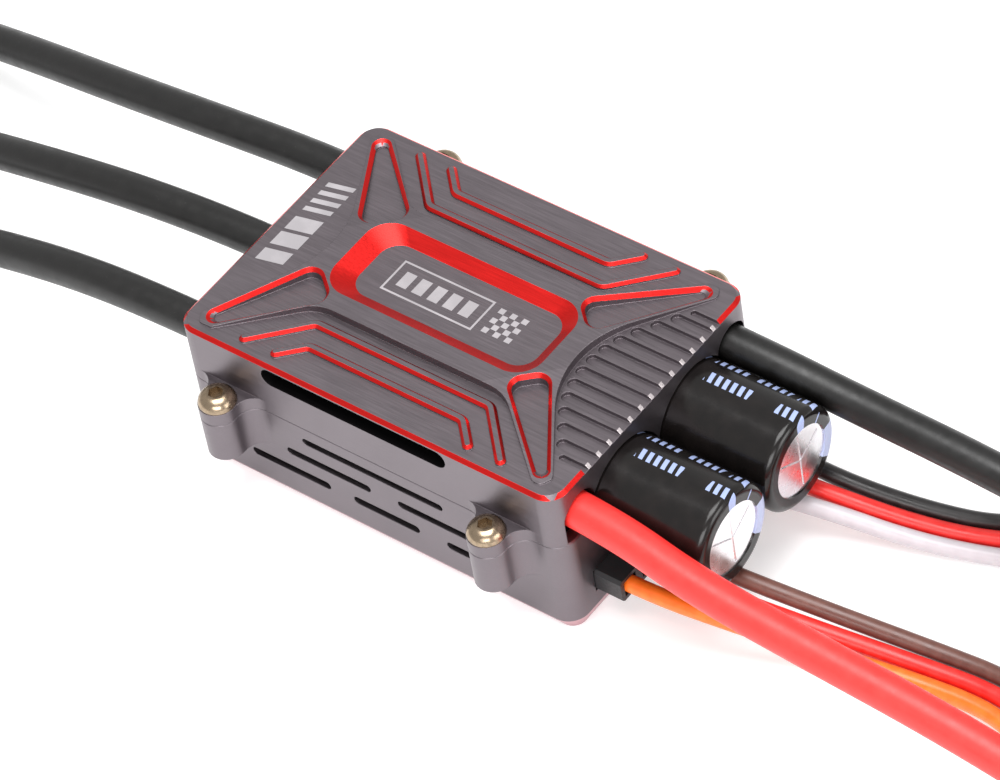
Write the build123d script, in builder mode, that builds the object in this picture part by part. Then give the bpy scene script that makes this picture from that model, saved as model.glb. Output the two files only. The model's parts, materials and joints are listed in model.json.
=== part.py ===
from build123d import *
import os
from math import atan2, cos, hypot, radians, sin, sqrt, tan

# Electronic speed controller for a brushless motor, in millimetres.
# +X runs along the case from the motor leads to the battery leads, +Z is up,
# and the origin is the centre of the underside.

# ---------------------------------------------------------------- driving sizes
CASE_LENGTH = 41.5
CASE_WIDTH = 28.6
CORNER_RADIUS = 2.0
WALL = 1.2
FLOOR = 1.2
SPLIT_Z = 11.0
TOP_Z = 17.4
CEILING_Z = 16.0
EDGE_CHAMFER = 0.35
FOOT_CHAMFER_HEIGHT = 1.27
FOOT_CHAMFER_INSETS = (0.5, 0.7)
SPLIT_CHAMFER = 0.15

# raised X-shaped platform on the cover: outline points for one side, and their rounding
PLATFORM_HEIGHT = 0.85
PLATFORM_OUTLINE = [
    ((10.7, 0.0), 10.2),
    ((19.05, 12.05), 0.7),
    ((18.5, 13.1), 0.7),
    ((17.6, 13.1), 0.7),
    ((10.0, 6.65), 4.0),
    ((-10.6, 6.65), 4.0),
    ((-17.4, 13.2), 0.5),
    ((-18.7, 13.2), 0.4),
    ((-19.3, 12.3), 0.5),
    ((-12.6, 0.0), 9.3),
]
ARM_FALL = 0.06

# dish in the middle of the platform
DISH_DEPTH = 0.8
DISH_RIM = (22.75, 9.4, 2.6)
DISH_RIM_X = -0.575
DISH_FLOOR = (19.5, 6.7, 1.9)
DISH_FLOOR_X = -0.15

# wedge pockets, one on each arm, from their inner end towards the corner
POCKET_DEPTH = 1.1
POCKET_CHAMFER = 0.34
FIN_POCKET = {"start": (10.5, 3.95), "angle": 47.6, "length": 11.5, "spread": 0.6, "radii": (1.35, 0.8)}
MOTOR_POCKET = {"start": (11.4, 4.1), "angle": 50.7, "length": 11.05, "spread": 0.85, "radii": (1.45, 0.92)}

# raised ribs beside the platform: y of the run, x of the bend, x of the end
RIB_WIDTH = 0.96
RIB_HEIGHT = 0.41
RIB_CHAMFER = 0.26
RIBS = [(8.13, 9.5, 14.0), (10.6, 8.4, 10.5)]
RIB_END_Y = 12.7
RIB_BEND_RADIUS = 1.0

# cooling fins at the battery end
FIN_COUNT = 13
FIN_PITCH = 1.515
FIN_WIDTH = 0.4
FIN_DEPTH = 0.4
FIN_SETBACK = 0.3
OUTER_VALLEY_Y = 9.59
OUTER_VALLEY_WIDTH = 0.6

# side openings: (x from, x to, z from, z to)
COVER_SLOT = (-11.2, 9.0, 14.95, 16.9)
COVER_SLOT_DEPTH = 2.8
BASE_SLOTS = [
    (-7.9, 7.6, 8.75, 9.55),
    (-10.05, -0.7, 6.35, 7.2),
    (2.3, 12.0, 6.35, 7.2),
    (-14.4, -5.6, 3.85, 4.75),
    (-3.0, 4.3, 3.85, 4.75),
    (7.3, 14.0, 3.85, 4.75),
]

# case screws, M2 button head
SCREW_XS = {-1: -15.15, 1: 14.45}
SCREW_Y = 16.4
SCREW_SHANK = 1.0
SCREW_CLEARANCE = 1.1
SCREW_HEAD_RADIUS = 1.75
SCREW_HEAD_HEIGHT = 1.1
SCREW_TIP_Z = 7.2
HEX_KEY_RADIUS = 0.72
HEX_DEPTH = 0.6
LUG_RADIUS = 1.8
LUG_REACH = 3.6
LUG_TOP_Z = 12.3
LUG_BOTTOM_Z = 6.5

# heavy-gauge silicone leads
LEAD_RADIUS = 1.7
LEAD_Z = 13.6
LEAD_NOTCH_RADIUS = 2.05
BATTERY_LEAD_Y = 11.1
MOTOR_LEAD_Y = 10.65
LEAD_START_X = 17.5
CONDUCTOR_RADIUS = 0.95
CONDUCTOR_LENGTH = 4.3
TINNED_LENGTH = 6.0

# electrolytic capacitors, lying along X
CAP_RADIUS = 5.0
CAP_Y = 5.04
CAP_Z = 10.55
CAP_START_X = 16.0
CAP_LENGTH = 16.0
CAP_OPENING_RADIUS = 5.2
CAN_ROUNDING = 0.6
SLEEVE_ROUNDING = 0.75
BUNG_DEPTH = 1.3
BUNG_SETBACK = 0.1
LEG_SPACING = 5.0
LEG_RADIUS = 0.4
LEG_END_X = 11.5
SLEEVE_THICKNESS = 0.15
SLEEVE_LIP_RADIUS = 3.5

# three-way 2.54 mm connectors
PIN_PITCH = 2.54
PLUG_LENGTH = 14.0
PLUG_WIDTH = 7.7
PLUG_HEIGHT = 2.5
PLUG_X = 9.6
PLUG_Y = 7.06
PLUG_Z = 4.15
PIN_SIDE = 0.64
CONTACT_BORE = 0.74
CONTACT_SIDE = 1.5
CONTACT_LENGTH = 10.4
CONTACT_SETBACK = 0.6
CONTACT_PLAY = 0.2
PIN_REACH = 6.0
PLUG_PLAY = 0.12
WIRE_RADIUS = 0.8

# boards
POWER_BOARD = (-17.2, 14.5, 12.5, 11.0, 12.6)
CONTROL_BOARD = (-18.0, 9.0, 11.4, 1.9, 2.9)
LINK_X = 14.6
HEADER_TAIL_X = 6.1
LINK_Y = 5.33
LINK_HOLE = 0.36
BOARD_POST_XS = (-17.1, 12.9)
BOARD_POST = (2.4, 2.65, SPLIT_Z - FLOOR)
STANDOFFS = [(-13.0, -9.6), (-13.0, 9.6), (4.0, -9.6), (4.0, 9.6)]
STANDOFF_RADIUS = 1.4
HEAT_SPREADER = (23.0, 19.6, 1.6)
THERMAL_PAD = (22.6, 19.4, 0.8)
SPREADER_X = -1.5
FET_HEIGHT = 1.0
HEADER_LENGTH = 2.5
SPACER_Z = 5.4
SPACER_HEIGHT = 2.5
PIN_TAIL = 0.4
JOINT_FOOT = (3.2, 2.7)
JOINT_TOP = (2.2, 2.1)
JOINT_HEIGHT = 0.95

# signal cables: put-away coils lie on their ties, wires stacked in two layers
COIL_INNER = 5.1
COIL_OUTER = 9.2
COIL_LOW = 0.5
COIL_HIGH = 10.2
SIGNAL_COIL = (70.0, 0.0)
BEC_COIL = (61.0, 23.3)
TIE_ANGLES = (20, 160)
TIE_WIDTH = 2.2
TIE_THICKNESS = 0.45
TIE_GAP = 0.2

ARC_SHARE = 0.45
CORNERS = [(end, side) for end in (-1, 1) for side in (-1, 1)]
MOTOR_LEAD_YS = (-MOTOR_LEAD_Y, 0, MOTOR_LEAD_Y)
BATTERY_LEAD_YS = (-BATTERY_LEAD_Y, BATTERY_LEAD_Y)
PLATFORM_Z = TOP_Z + PLATFORM_HEIGHT
WALL_Y = CASE_WIDTH / 2
WALL_X = CASE_LENGTH / 2

os.makedirs("parts", exist_ok=True)


def save(part, name):
    """Label a finished piece and write its file."""
    part.label = name
    export_step(part, f"parts/{name}.step")


def lug_outline(end, side):
    """Outline of a round screw lug that flows into the side wall through two wide concave arcs."""
    stand_off = SCREW_Y - WALL_Y
    flare = (LUG_REACH**2 + stand_off**2 - LUG_RADIUS**2) / (2 * (LUG_RADIUS + stand_off))
    lean = atan2(flare - stand_off, LUG_REACH)
    meeting = (LUG_RADIUS * cos(lean), stand_off + LUG_RADIUS * sin(lean))
    half_way = (lean + radians(90)) / 2
    bend = (LUG_REACH - flare * cos(half_way), flare - flare * sin(half_way))
    x = SCREW_XS[end]
    wall = side * (WALL_Y - WALL / 2)
    face = side * WALL_Y
    with BuildSketch() as outline:
        with BuildLine():
            Line((x - LUG_REACH, wall), (x - LUG_REACH, face))
            ThreePointArc(
                (x - LUG_REACH, face),
                (x - bend[0], face + side * bend[1]),
                (x - meeting[0], face + side * meeting[1]),
            )
            ThreePointArc(
                (x - meeting[0], face + side * meeting[1]),
                (x, side * (SCREW_Y + LUG_RADIUS)),
                (x + meeting[0], face + side * meeting[1]),
            )
            ThreePointArc(
                (x + meeting[0], face + side * meeting[1]),
                (x + bend[0], face + side * bend[1]),
                (x + LUG_REACH, face),
            )
            Line((x + LUG_REACH, face), (x + LUG_REACH, wall))
            Line((x + LUG_REACH, wall), (x - LUG_REACH, wall))
        make_face()
    return outline.sketch


def corner_radii(route):
    """Largest even arc for each corner of a cord's route."""
    radii = []
    for before, corner, after in zip(route, route[1:], route[2:]):
        run_in = Vector(*corner) - Vector(*before)
        run_out = Vector(*after) - Vector(*corner)
        half_turn = radians(run_in.get_angle(run_out)) / 2
        radii.append(ARC_SHARE * min(run_in.length, run_out.length) / tan(half_turn))
    return radii


def tube(route, radius):
    """One round tube along a route of straight runs joined by arcs."""
    radii = corner_radii(route)
    print("corner radii", [round(value, 1) for value in radii])
    with BuildPart() as cord:
        with BuildLine() as path:
            FilletPolyline(*route, radius=radii)
        with BuildSketch(Plane(origin=path.line @ 0, z_dir=path.line % 0)):
            Circle(radius)
        sweep()
    return cord.part


def pocket_outline(plane, pocket, inset):
    """Wedge with a broad rounded root and a narrow tip, drawn on an arm's own plane."""
    root_radius, tip_radius = pocket["radii"]
    with BuildSketch(plane) as outline:
        with BuildLine():
            CenterArc((root_radius, -pocket["spread"]), root_radius - inset, 0, 360)
            CenterArc((root_radius, pocket["spread"]), root_radius - inset, 0, 360)
            CenterArc((pocket["length"] - tip_radius - inset, 0), tip_radius - inset, 0, 360)
        make_hull()
    return outline.sketch


def platform_edge_x(y):
    """Where the platform ends at the fins, for one distance from the middle."""
    (apex_x, _), arc_radius = PLATFORM_OUTLINE[0]
    (tip_x, tip_y), _ = PLATFORM_OUTLINE[1]
    slant = hypot(tip_x - apex_x, tip_y)
    centre_x = apex_x + arc_radius * slant / tip_y
    tangent_y = arc_radius * (tip_x - apex_x) / slant
    if abs(y) < tangent_y:
        return centre_x - sqrt(arc_radius**2 - y**2)
    return apex_x + abs(y) * (tip_x - apex_x) / tip_y


# ---------------------------------------------------------------- upper cover
with BuildSketch() as platform_outline:
    upper_points = [point for point, _ in PLATFORM_OUTLINE]
    lower_points = [(x, -y) for x, y in reversed(upper_points[1:-1])]
    with BuildLine():
        Polyline(*upper_points, *lower_points, close=True)
    make_face()
    for (x, y), radius in PLATFORM_OUTLINE:
        for corner in {(x, y), (x, -y)}:
            nearest = platform_outline.vertices().sort_by_distance((corner[0], corner[1], 0))[0]
            fillet(nearest, radius=radius)

with BuildPart() as upper_cover:
    with BuildSketch(Plane.XY.offset(SPLIT_Z)):
        RectangleRounded(CASE_LENGTH, CASE_WIDTH, CORNER_RADIUS)
    extrude(amount=TOP_Z - SPLIT_Z)
    chamfer(upper_cover.faces().sort_by(Axis.Z)[-1].edges(), length=EDGE_CHAMFER)
    # platform, with arms that fall gently towards the corners
    with BuildSketch(Plane.XY.offset(TOP_Z)):
        add(platform_outline.sketch)
    extrude(amount=PLATFORM_HEIGHT)
    arm_planes = {}
    for end, side in CORNERS:
        pocket = FIN_POCKET if end > 0 else MOTOR_POCKET
        along_x = end * cos(radians(pocket["angle"]))
        along_y = side * sin(radians(pocket["angle"]))
        arm_planes[end, side] = Plane(
            origin=(end * pocket["start"][0], side * pocket["start"][1], PLATFORM_Z),
            x_dir=(along_x, along_y, -ARM_FALL),
            z_dir=(along_x * ARM_FALL, along_y * ARM_FALL, 1),
        )
        with Locations(arm_planes[end, side]):
            Box(20, 16, 3, align=(Align.MIN, Align.CENTER, Align.MIN), mode=Mode.SUBTRACT)
    # ribs
    for run_y, bend_x, end_x in RIBS:
        for side in (-1, 1):
            with BuildSketch(Plane.XY.offset(TOP_Z)):
                with BuildLine():
                    FilletPolyline(
                        (-end_x, side * RIB_END_Y),
                        (-bend_x, side * run_y),
                        (bend_x, side * run_y),
                        (end_x, side * RIB_END_Y),
                        radius=RIB_BEND_RADIUS,
                    )
                trace(line_width=RIB_WIDTH)
                with Locations((-end_x, side * RIB_END_Y), (end_x, side * RIB_END_Y)):
                    Circle(RIB_WIDTH / 2)
            extrude(amount=RIB_HEIGHT)
            rib_top = upper_cover.faces(Select.LAST).filter_by(Axis.Z).sort_by(Axis.Z)[-1]
            chamfer(rib_top.edges(), length=RIB_CHAMFER)
    # dish
    with BuildSketch(Plane.XY.offset(PLATFORM_Z)):
        with Locations((DISH_RIM_X, 0)):
            RectangleRounded(*DISH_RIM)
    with BuildSketch(Plane.XY.offset(PLATFORM_Z - DISH_DEPTH)):
        with Locations((DISH_FLOOR_X, 0)):
            RectangleRounded(*DISH_FLOOR)
    loft(mode=Mode.SUBTRACT)
    # pockets with a chamfered rim and a level floor
    for end, side in CORNERS:
        pocket = FIN_POCKET if end > 0 else MOTOR_POCKET
        rim_plane = arm_planes[end, side]
        wall_plane = rim_plane.offset(-POCKET_CHAMFER)
        floor_plane = Plane(
            origin=rim_plane.origin - Vector(0, 0, POCKET_DEPTH),
            x_dir=(rim_plane.x_dir.X, rim_plane.x_dir.Y, 0),
            z_dir=(0, 0, 1),
        )
        rim = pocket_outline(rim_plane, pocket, 0)
        wall_top = pocket_outline(wall_plane, pocket, POCKET_CHAMFER)
        wall_foot = pocket_outline(floor_plane, pocket, POCKET_CHAMFER)
        loft([rim, wall_top], ruled=True, mode=Mode.SUBTRACT)
        loft([wall_top, wall_foot], ruled=True, mode=Mode.SUBTRACT)
    # valleys between the fins, open at the battery end
    valley_width = FIN_PITCH - FIN_WIDTH
    with BuildSketch(Plane.XY.offset(TOP_Z)):
        for index in range(FIN_COUNT - 1):
            valley_y = (index - (FIN_COUNT - 2) / 2) * FIN_PITCH
            valley_x = platform_edge_x(valley_y) + FIN_SETBACK + valley_width / 2
            with Locations((valley_x, valley_y)):
                Circle(valley_width / 2)
                Rectangle(CASE_LENGTH, valley_width, align=(Align.MIN, Align.CENTER))
        outer_x = platform_edge_x(OUTER_VALLEY_Y) + FIN_SETBACK + OUTER_VALLEY_WIDTH
        with Locations((outer_x, -OUTER_VALLEY_Y), (outer_x, OUTER_VALLEY_Y)):
            Circle(OUTER_VALLEY_WIDTH / 2)
            Rectangle(CASE_LENGTH, OUTER_VALLEY_WIDTH, align=(Align.MIN, Align.CENTER))
    extrude(amount=-FIN_DEPTH, mode=Mode.SUBTRACT)
    # half lugs for the screws
    with BuildSketch(Plane.XY.offset(SPLIT_Z)):
        for end, side in CORNERS:
            add(lug_outline(end, side))
    extrude(amount=LUG_TOP_Z - SPLIT_Z)
    # hollow inside, leaving a heat-spreading block under the platform
    with BuildSketch(Plane.XY.offset(SPLIT_Z)):
        RectangleRounded(CASE_LENGTH - 2 * WALL, CASE_WIDTH - 2 * WALL, CORNER_RADIUS - WALL + 0.4)
    extrude(amount=CEILING_Z - SPLIT_Z, mode=Mode.SUBTRACT)
    with BuildSketch(Plane.XY.offset(CEILING_Z)):
        with Locations((SPREADER_X, 0)):
            RectangleRounded(HEAT_SPREADER[0], HEAT_SPREADER[1], 1.0)
    extrude(amount=-HEAT_SPREADER[2])
    # long side slots
    slot_x0, slot_x1, slot_z0, slot_z1 = COVER_SLOT
    for side in (-1, 1):
        with BuildSketch(Plane.XZ.offset(-side * (WALL_Y - COVER_SLOT_DEPTH))):
            with Locations(((slot_x0 + slot_x1) / 2, (slot_z0 + slot_z1) / 2)):
                SlotOverall(slot_x1 - slot_x0, slot_z1 - slot_z0)
        extrude(amount=-side * COVER_SLOT_DEPTH, mode=Mode.SUBTRACT)
    # notches for the leads, and round openings for the capacitors
    for end, rows in ((-1, MOTOR_LEAD_YS), (1, BATTERY_LEAD_YS)):
        with BuildSketch(Plane.YZ.offset(end * WALL_X)):
            with Locations(*[(y, LEAD_Z) for y in rows]):
                Circle(LEAD_NOTCH_RADIUS)
                Rectangle(2 * LEAD_NOTCH_RADIUS, 4, align=(Align.CENTER, Align.MAX))
        extrude(amount=-end * 2 * WALL, mode=Mode.SUBTRACT)
    with BuildSketch(Plane.YZ.offset(WALL_X)):
        with Locations((-CAP_Y, CAP_Z), (CAP_Y, CAP_Z)):
            Circle(CAP_OPENING_RADIUS)
    extrude(amount=-WALL, mode=Mode.SUBTRACT)
    with Locations(*[(SCREW_XS[end], side * SCREW_Y, LUG_TOP_Z) for end, side in CORNERS]):
        Hole(SCREW_CLEARANCE, depth=2 * (LUG_TOP_Z - SPLIT_Z))
save(upper_cover.part, "upper_cover")

# ---------------------------------------------------------------- lower case
with BuildPart() as lower_case:
    with BuildSketch(Plane.XY):
        RectangleRounded(
            CASE_LENGTH - 2 * FOOT_CHAMFER_INSETS[0],
            CASE_WIDTH - 2 * FOOT_CHAMFER_INSETS[1],
            CORNER_RADIUS - FOOT_CHAMFER_INSETS[1],
        )
    with BuildSketch(Plane.XY.offset(FOOT_CHAMFER_HEIGHT)):
        RectangleRounded(CASE_LENGTH, CASE_WIDTH, CORNER_RADIUS)
    loft()
    with BuildSketch(Plane.XY.offset(FOOT_CHAMFER_HEIGHT)):
        RectangleRounded(CASE_LENGTH, CASE_WIDTH, CORNER_RADIUS)
    extrude(amount=SPLIT_Z - FOOT_CHAMFER_HEIGHT)
    with BuildSketch(Plane.XY.offset(FLOOR)):
        RectangleRounded(CASE_LENGTH - 2 * WALL, CASE_WIDTH - 2 * WALL, CORNER_RADIUS - WALL + 0.4)
    extrude(amount=SPLIT_Z, mode=Mode.SUBTRACT)
    # cooling slots through both side walls
    with BuildSketch(Plane.XZ):
        for x0, x1, z0, z1 in BASE_SLOTS:
            with Locations(((x0 + x1) / 2, (z0 + z1) / 2)):
                SlotOverall(x1 - x0, z1 - z0)
    extrude(amount=CASE_WIDTH, both=True, mode=Mode.SUBTRACT)
    # screw bosses
    with BuildSketch(Plane.XY.offset(LUG_BOTTOM_Z)):
        for end, side in CORNERS:
            add(lug_outline(end, side))
    extrude(amount=SPLIT_Z - LUG_BOTTOM_Z)
    chamfer(lower_case.faces().sort_by(Axis.Z)[-1].outer_wire().edges(), length=SPLIT_CHAMFER)
    # posts under the power board and standoffs under the control board
    for post_x in BOARD_POST_XS:
        for side in (-1, 1):
            with Locations((post_x, side * (WALL_Y - SPLIT_CHAMFER), FLOOR)):
                Box(*BOARD_POST, align=(Align.CENTER, Align.MAX if side > 0 else Align.MIN, Align.MIN))
    with BuildSketch(Plane.XY.offset(FLOOR)):
        with Locations(*STANDOFFS):
            Circle(STANDOFF_RADIUS)
    extrude(amount=CONTROL_BOARD[3] - FLOOR)
    # round openings for the capacitors and windows for the two plugs
    with BuildSketch(Plane.YZ.offset(WALL_X)):
        with Locations((-CAP_Y, CAP_Z), (CAP_Y, CAP_Z)):
            Circle(CAP_OPENING_RADIUS)
        with Locations((-PLUG_Y, PLUG_Z), (PLUG_Y, PLUG_Z)):
            Rectangle(PLUG_WIDTH + PLUG_PLAY, PLUG_HEIGHT + PLUG_PLAY)
    extrude(amount=-WALL, mode=Mode.SUBTRACT)
    with Locations(*[(SCREW_XS[end], side * SCREW_Y, SPLIT_Z) for end, side in CORNERS]):
        Hole(SCREW_SHANK, depth=SPLIT_Z - SCREW_TIP_Z)
save(lower_case.part, "lower_case")

# ---------------------------------------------------------------- screws
with BuildPart() as screw:
    with BuildSketch(Plane.XZ):
        with BuildLine():
            Polyline(
                (0, SCREW_TIP_Z + 0.2),
                (SCREW_SHANK - 0.2, SCREW_TIP_Z + 0.2),
                (SCREW_SHANK - 0.02, SCREW_TIP_Z + 0.5),
                (SCREW_SHANK - 0.02, LUG_TOP_Z),
                (SCREW_HEAD_RADIUS, LUG_TOP_Z),
                (SCREW_HEAD_RADIUS, LUG_TOP_Z + 0.22),
            )
            ThreePointArc(
                (SCREW_HEAD_RADIUS, LUG_TOP_Z + 0.22),
                (1.42, LUG_TOP_Z + 0.8),
                (0.85, LUG_TOP_Z + SCREW_HEAD_HEIGHT),
            )
            Polyline(
                (0.85, LUG_TOP_Z + SCREW_HEAD_HEIGHT),
                (0, LUG_TOP_Z + SCREW_HEAD_HEIGHT),
                (0, SCREW_TIP_Z + 0.2),
            )
        make_face()
    revolve(axis=Axis.Z)
    with BuildSketch(Plane.XY.offset(LUG_TOP_Z + SCREW_HEAD_HEIGHT)):
        RegularPolygon(HEX_KEY_RADIUS, 6)
    extrude(amount=-HEX_DEPTH, mode=Mode.SUBTRACT)
with BuildPart() as cover_screws:
    with Locations(*[(SCREW_XS[end], side * SCREW_Y) for end, side in CORNERS]):
        add(screw.part)
save(cover_screws.part, "cover_screws")


# ---------------------------------------------------------------- boards inside
def board(limits):
    """Bare board from (x from, x to, half width, z from, z to), drilled for the link pins."""
    x0, x1, half_width, z0, z1 = limits
    with BuildPart() as blank:
        with BuildSketch(Plane.XY.offset(z0)):
            with Locations(((x0 + x1) / 2, 0)):
                RectangleRounded(x1 - x0, 2 * half_width, 0.8)
            with Locations(*LINK_POINTS):
                Circle(LINK_HOLE, mode=Mode.SUBTRACT)
        extrude(amount=z1 - z0)
    return blank.part


LINK_GRID = GridLocations(PIN_PITCH, PIN_PITCH, 2, 3).locations
LINK_POINTS = [
    (spot.position.X - LINK_X, spot.position.Y + side * LINK_Y) for side in (-1, 1) for spot in LINK_GRID
]

save(board(POWER_BOARD), "power_board")

with BuildPart() as control_board:
    add(board(CONTROL_BOARD))
    with BuildSketch(Plane.XY.offset(CONTROL_BOARD[4])):
        with Locations((HEADER_TAIL_X, -PLUG_Y), (HEADER_TAIL_X, PLUG_Y)):
            with GridLocations(1, PIN_PITCH, 1, 3):
                Rectangle(PIN_SIDE + 0.1, PIN_SIDE + 0.1)
    extrude(amount=-2, mode=Mode.SUBTRACT)
save(control_board.part, "control_board")

with BuildPart() as board_link_pins:
    with BuildSketch(Plane.XY.offset(CONTROL_BOARD[3] - PIN_TAIL)):
        with Locations(*LINK_POINTS):
            Circle(LINK_HOLE - 0.04)
    extrude(amount=POWER_BOARD[4] - CONTROL_BOARD[3] + 2 * PIN_TAIL)
save(board_link_pins.part, "board_link_pins")

with BuildPart() as board_link_spacers:
    with BuildSketch(Plane.XY.offset(SPACER_Z)):
        with Locations((-LINK_X, -LINK_Y), (-LINK_X, LINK_Y)):
            RectangleRounded(5.0, 7.5, 0.4)
        with Locations(*LINK_POINTS):
            Circle(LINK_HOLE - 0.03, mode=Mode.SUBTRACT)
    extrude(amount=SPACER_HEIGHT)
save(board_link_spacers.part, "board_link_spacers")


def chips(spots, size, base_z, bevel):
    """Flat packages with a small bevel round the top."""
    length, width, height = size
    with BuildPart() as packages:
        with BuildSketch(Plane.XY.offset(base_z)):
            with Locations(*spots):
                Rectangle(length, width)
        extrude(amount=height)
        chamfer(packages.faces().group_by(Axis.Z)[-1].edges(), length=bevel)
    return packages.part


FET_SPOTS = [(loc.position.X + SPREADER_X, loc.position.Y) for loc in GridLocations(5.8, 6.6, 4, 3).locations]
MLCC_SPOTS = [(11.6, y) for y in (-7.5, -4.5, -1.5, 1.5, 4.5, 7.5)]

power_mosfets = chips(FET_SPOTS, (5.0, 6.0, FET_HEIGHT), POWER_BOARD[4], 0.12)
save(power_mosfets, "power_mosfets")

ceramic_capacitors = chips(MLCC_SPOTS, (0.9, 1.7, 0.8), POWER_BOARD[4], 0.08)
save(ceramic_capacitors, "ceramic_capacitors")

with BuildPart() as thermal_pad:
    with BuildSketch(Plane.XY.offset(POWER_BOARD[4] + FET_HEIGHT)):
        with Locations((SPREADER_X, 0)):
            RectangleRounded(THERMAL_PAD[0], THERMAL_PAD[1], 0.8)
    extrude(amount=THERMAL_PAD[2])
save(thermal_pad.part, "thermal_pad")

microcontroller = chips([(-3.5, 0)], (7.0, 7.0, 0.9), CONTROL_BOARD[4], 0.15)
save(microcontroller, "microcontroller")

gate_drivers = chips([(-9.8, -7.0), (-9.8, 0), (-9.8, 7.0)], (4.0, 4.0, 0.8), CONTROL_BOARD[4], 0.12)
save(gate_drivers, "gate_drivers")

bec_regulator = chips([(-3.5, 8.0)], (6.5, 5.6, 2.2), CONTROL_BOARD[4], 0.3)
save(bec_regulator, "bec_regulator")

bec_inductor = chips([(-3.5, -8.0)], (6.0, 6.0, 3.0), CONTROL_BOARD[4], 0.5)
save(bec_inductor, "bec_inductor")

# ---------------------------------------------------------------- conductors and solder
def conductor_stubs(end, rows):
    """Stripped conductors reaching from the leads to the board."""
    with BuildPart() as stubs:
        with BuildSketch(Plane.YZ.offset(end * LEAD_START_X)):
            with Locations(*[(y, LEAD_Z) for y in rows]):
                Circle(CONDUCTOR_RADIUS)
        extrude(amount=-end * CONDUCTOR_LENGTH)
    return stubs.part


def solder_joints(middle, rows):
    """Solder heaped round each conductor's end, on the board."""
    base_z = POWER_BOARD[4]
    with BuildPart() as joints:
        for y in rows:
            with BuildSketch(Plane.XY.offset(base_z)):
                with Locations((middle, y)):
                    RectangleRounded(*JOINT_FOOT, 0.9)
            with BuildSketch(Plane.XY.offset(base_z + JOINT_HEIGHT)):
                with Locations((middle, y)):
                    RectangleRounded(*JOINT_TOP, 0.7)
            loft()
        with Locations(*[Location((middle, y, LEAD_Z), (0, 90, 0)) for y in rows]):
            Cylinder(CONDUCTOR_RADIUS, 10, mode=Mode.SUBTRACT)
    return joints.part


for group, end, rows, joint_x in (
    ("motor", -1, MOTOR_LEAD_YS, -14.9),
    ("battery", 1, BATTERY_LEAD_YS, 12.8),
):
    save(conductor_stubs(end, rows), f"{group}_conductor_stubs")
    save(solder_joints(joint_x, rows), f"{group}_solder_joints")

# ---------------------------------------------------------------- capacitors
for number, side in ((1, -1), (2, 1)):
    cap_axis = Axis((0, side * CAP_Y, CAP_Z), (1, 0, 0))
    end_x = CAP_START_X + CAP_LENGTH
    can_radius = CAP_RADIUS - SLEEVE_THICKNESS
    bung_radius = can_radius - 0.4
    can_end_x = end_x - SLEEVE_THICKNESS
    bung_start_x = CAP_START_X + BUNG_SETBACK
    bung_end_x = bung_start_x + BUNG_DEPTH
    shoulder_x = end_x - SLEEVE_ROUNDING
    can_bevel = CAN_ROUNDING * (1 - sqrt(0.5))
    sleeve_bevel = SLEEVE_ROUNDING * (1 - sqrt(0.5))
    cap_plane = Plane(origin=(0, side * CAP_Y, CAP_Z), x_dir=(1, 0, 0), z_dir=(0, -1, 0))
    with BuildPart() as can:
        with BuildSketch(cap_plane):
            with BuildLine():
                Polyline(
                    (bung_end_x, 0),
                    (bung_end_x, bung_radius),
                    (bung_start_x, bung_radius),
                    (bung_start_x, can_radius),
                    (shoulder_x, can_radius),
                )
                ThreePointArc(
                    (shoulder_x, can_radius),
                    (can_end_x - can_bevel, can_radius - can_bevel),
                    (can_end_x, can_radius - CAN_ROUNDING),
                )
                Polyline((can_end_x, can_radius - CAN_ROUNDING), (can_end_x, 0), (bung_end_x, 0))
            make_face()
        revolve(axis=cap_axis)
        # pressure-relief scores on the end
        with BuildSketch(Plane.YZ.offset(can_end_x)):
            with Locations((side * CAP_Y, CAP_Z)):
                Rectangle(0.22, 6.2)
                with Locations(Location((0, 0), 60), Location((0, 0), -60)):
                    Rectangle(0.22, 3.1, align=(Align.CENTER, Align.MIN))
        extrude(amount=-0.12, mode=Mode.SUBTRACT)
    save(can.part, f"capacitor_{number}_can")
    with BuildPart() as sleeve:
        with BuildSketch(cap_plane):
            with BuildLine():
                Line((CAP_START_X, CAP_RADIUS), (shoulder_x, CAP_RADIUS))
                ThreePointArc(
                    (shoulder_x, CAP_RADIUS),
                    (end_x - sleeve_bevel, CAP_RADIUS - sleeve_bevel),
                    (end_x, CAP_RADIUS - SLEEVE_ROUNDING),
                )
                Polyline(
                    (end_x, CAP_RADIUS - SLEEVE_ROUNDING),
                    (end_x, SLEEVE_LIP_RADIUS),
                    (can_end_x, SLEEVE_LIP_RADIUS),
                    (can_end_x, can_radius - CAN_ROUNDING),
                )
                ThreePointArc(
                    (can_end_x, can_radius - CAN_ROUNDING),
                    (can_end_x - can_bevel, can_radius - can_bevel),
                    (shoulder_x, can_radius),
                )
                Polyline((shoulder_x, can_radius), (CAP_START_X, can_radius), (CAP_START_X, CAP_RADIUS))
            make_face()
        revolve(axis=cap_axis)
    save(sleeve.part, f"capacitor_{number}_sleeve")
    with BuildPart() as bung:
        with BuildSketch(Plane.YZ.offset(bung_start_x)):
            with Locations((side * CAP_Y, CAP_Z)):
                Circle(bung_radius)
                with GridLocations(LEG_SPACING, 1, 2, 1):
                    Circle(LEG_RADIUS + 0.02, mode=Mode.SUBTRACT)
        extrude(amount=BUNG_DEPTH)
    save(bung.part, f"capacitor_{number}_bung")
    with BuildPart() as legs:
        with BuildSketch(Plane.YZ.offset(LEG_END_X)):
            with Locations((side * CAP_Y, CAP_Z)):
                with GridLocations(LEG_SPACING, 1, 2, 1):
                    Circle(LEG_RADIUS)
        extrude(amount=bung_end_x - LEG_END_X)
    save(legs.part, f"capacitor_{number}_legs")

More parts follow.
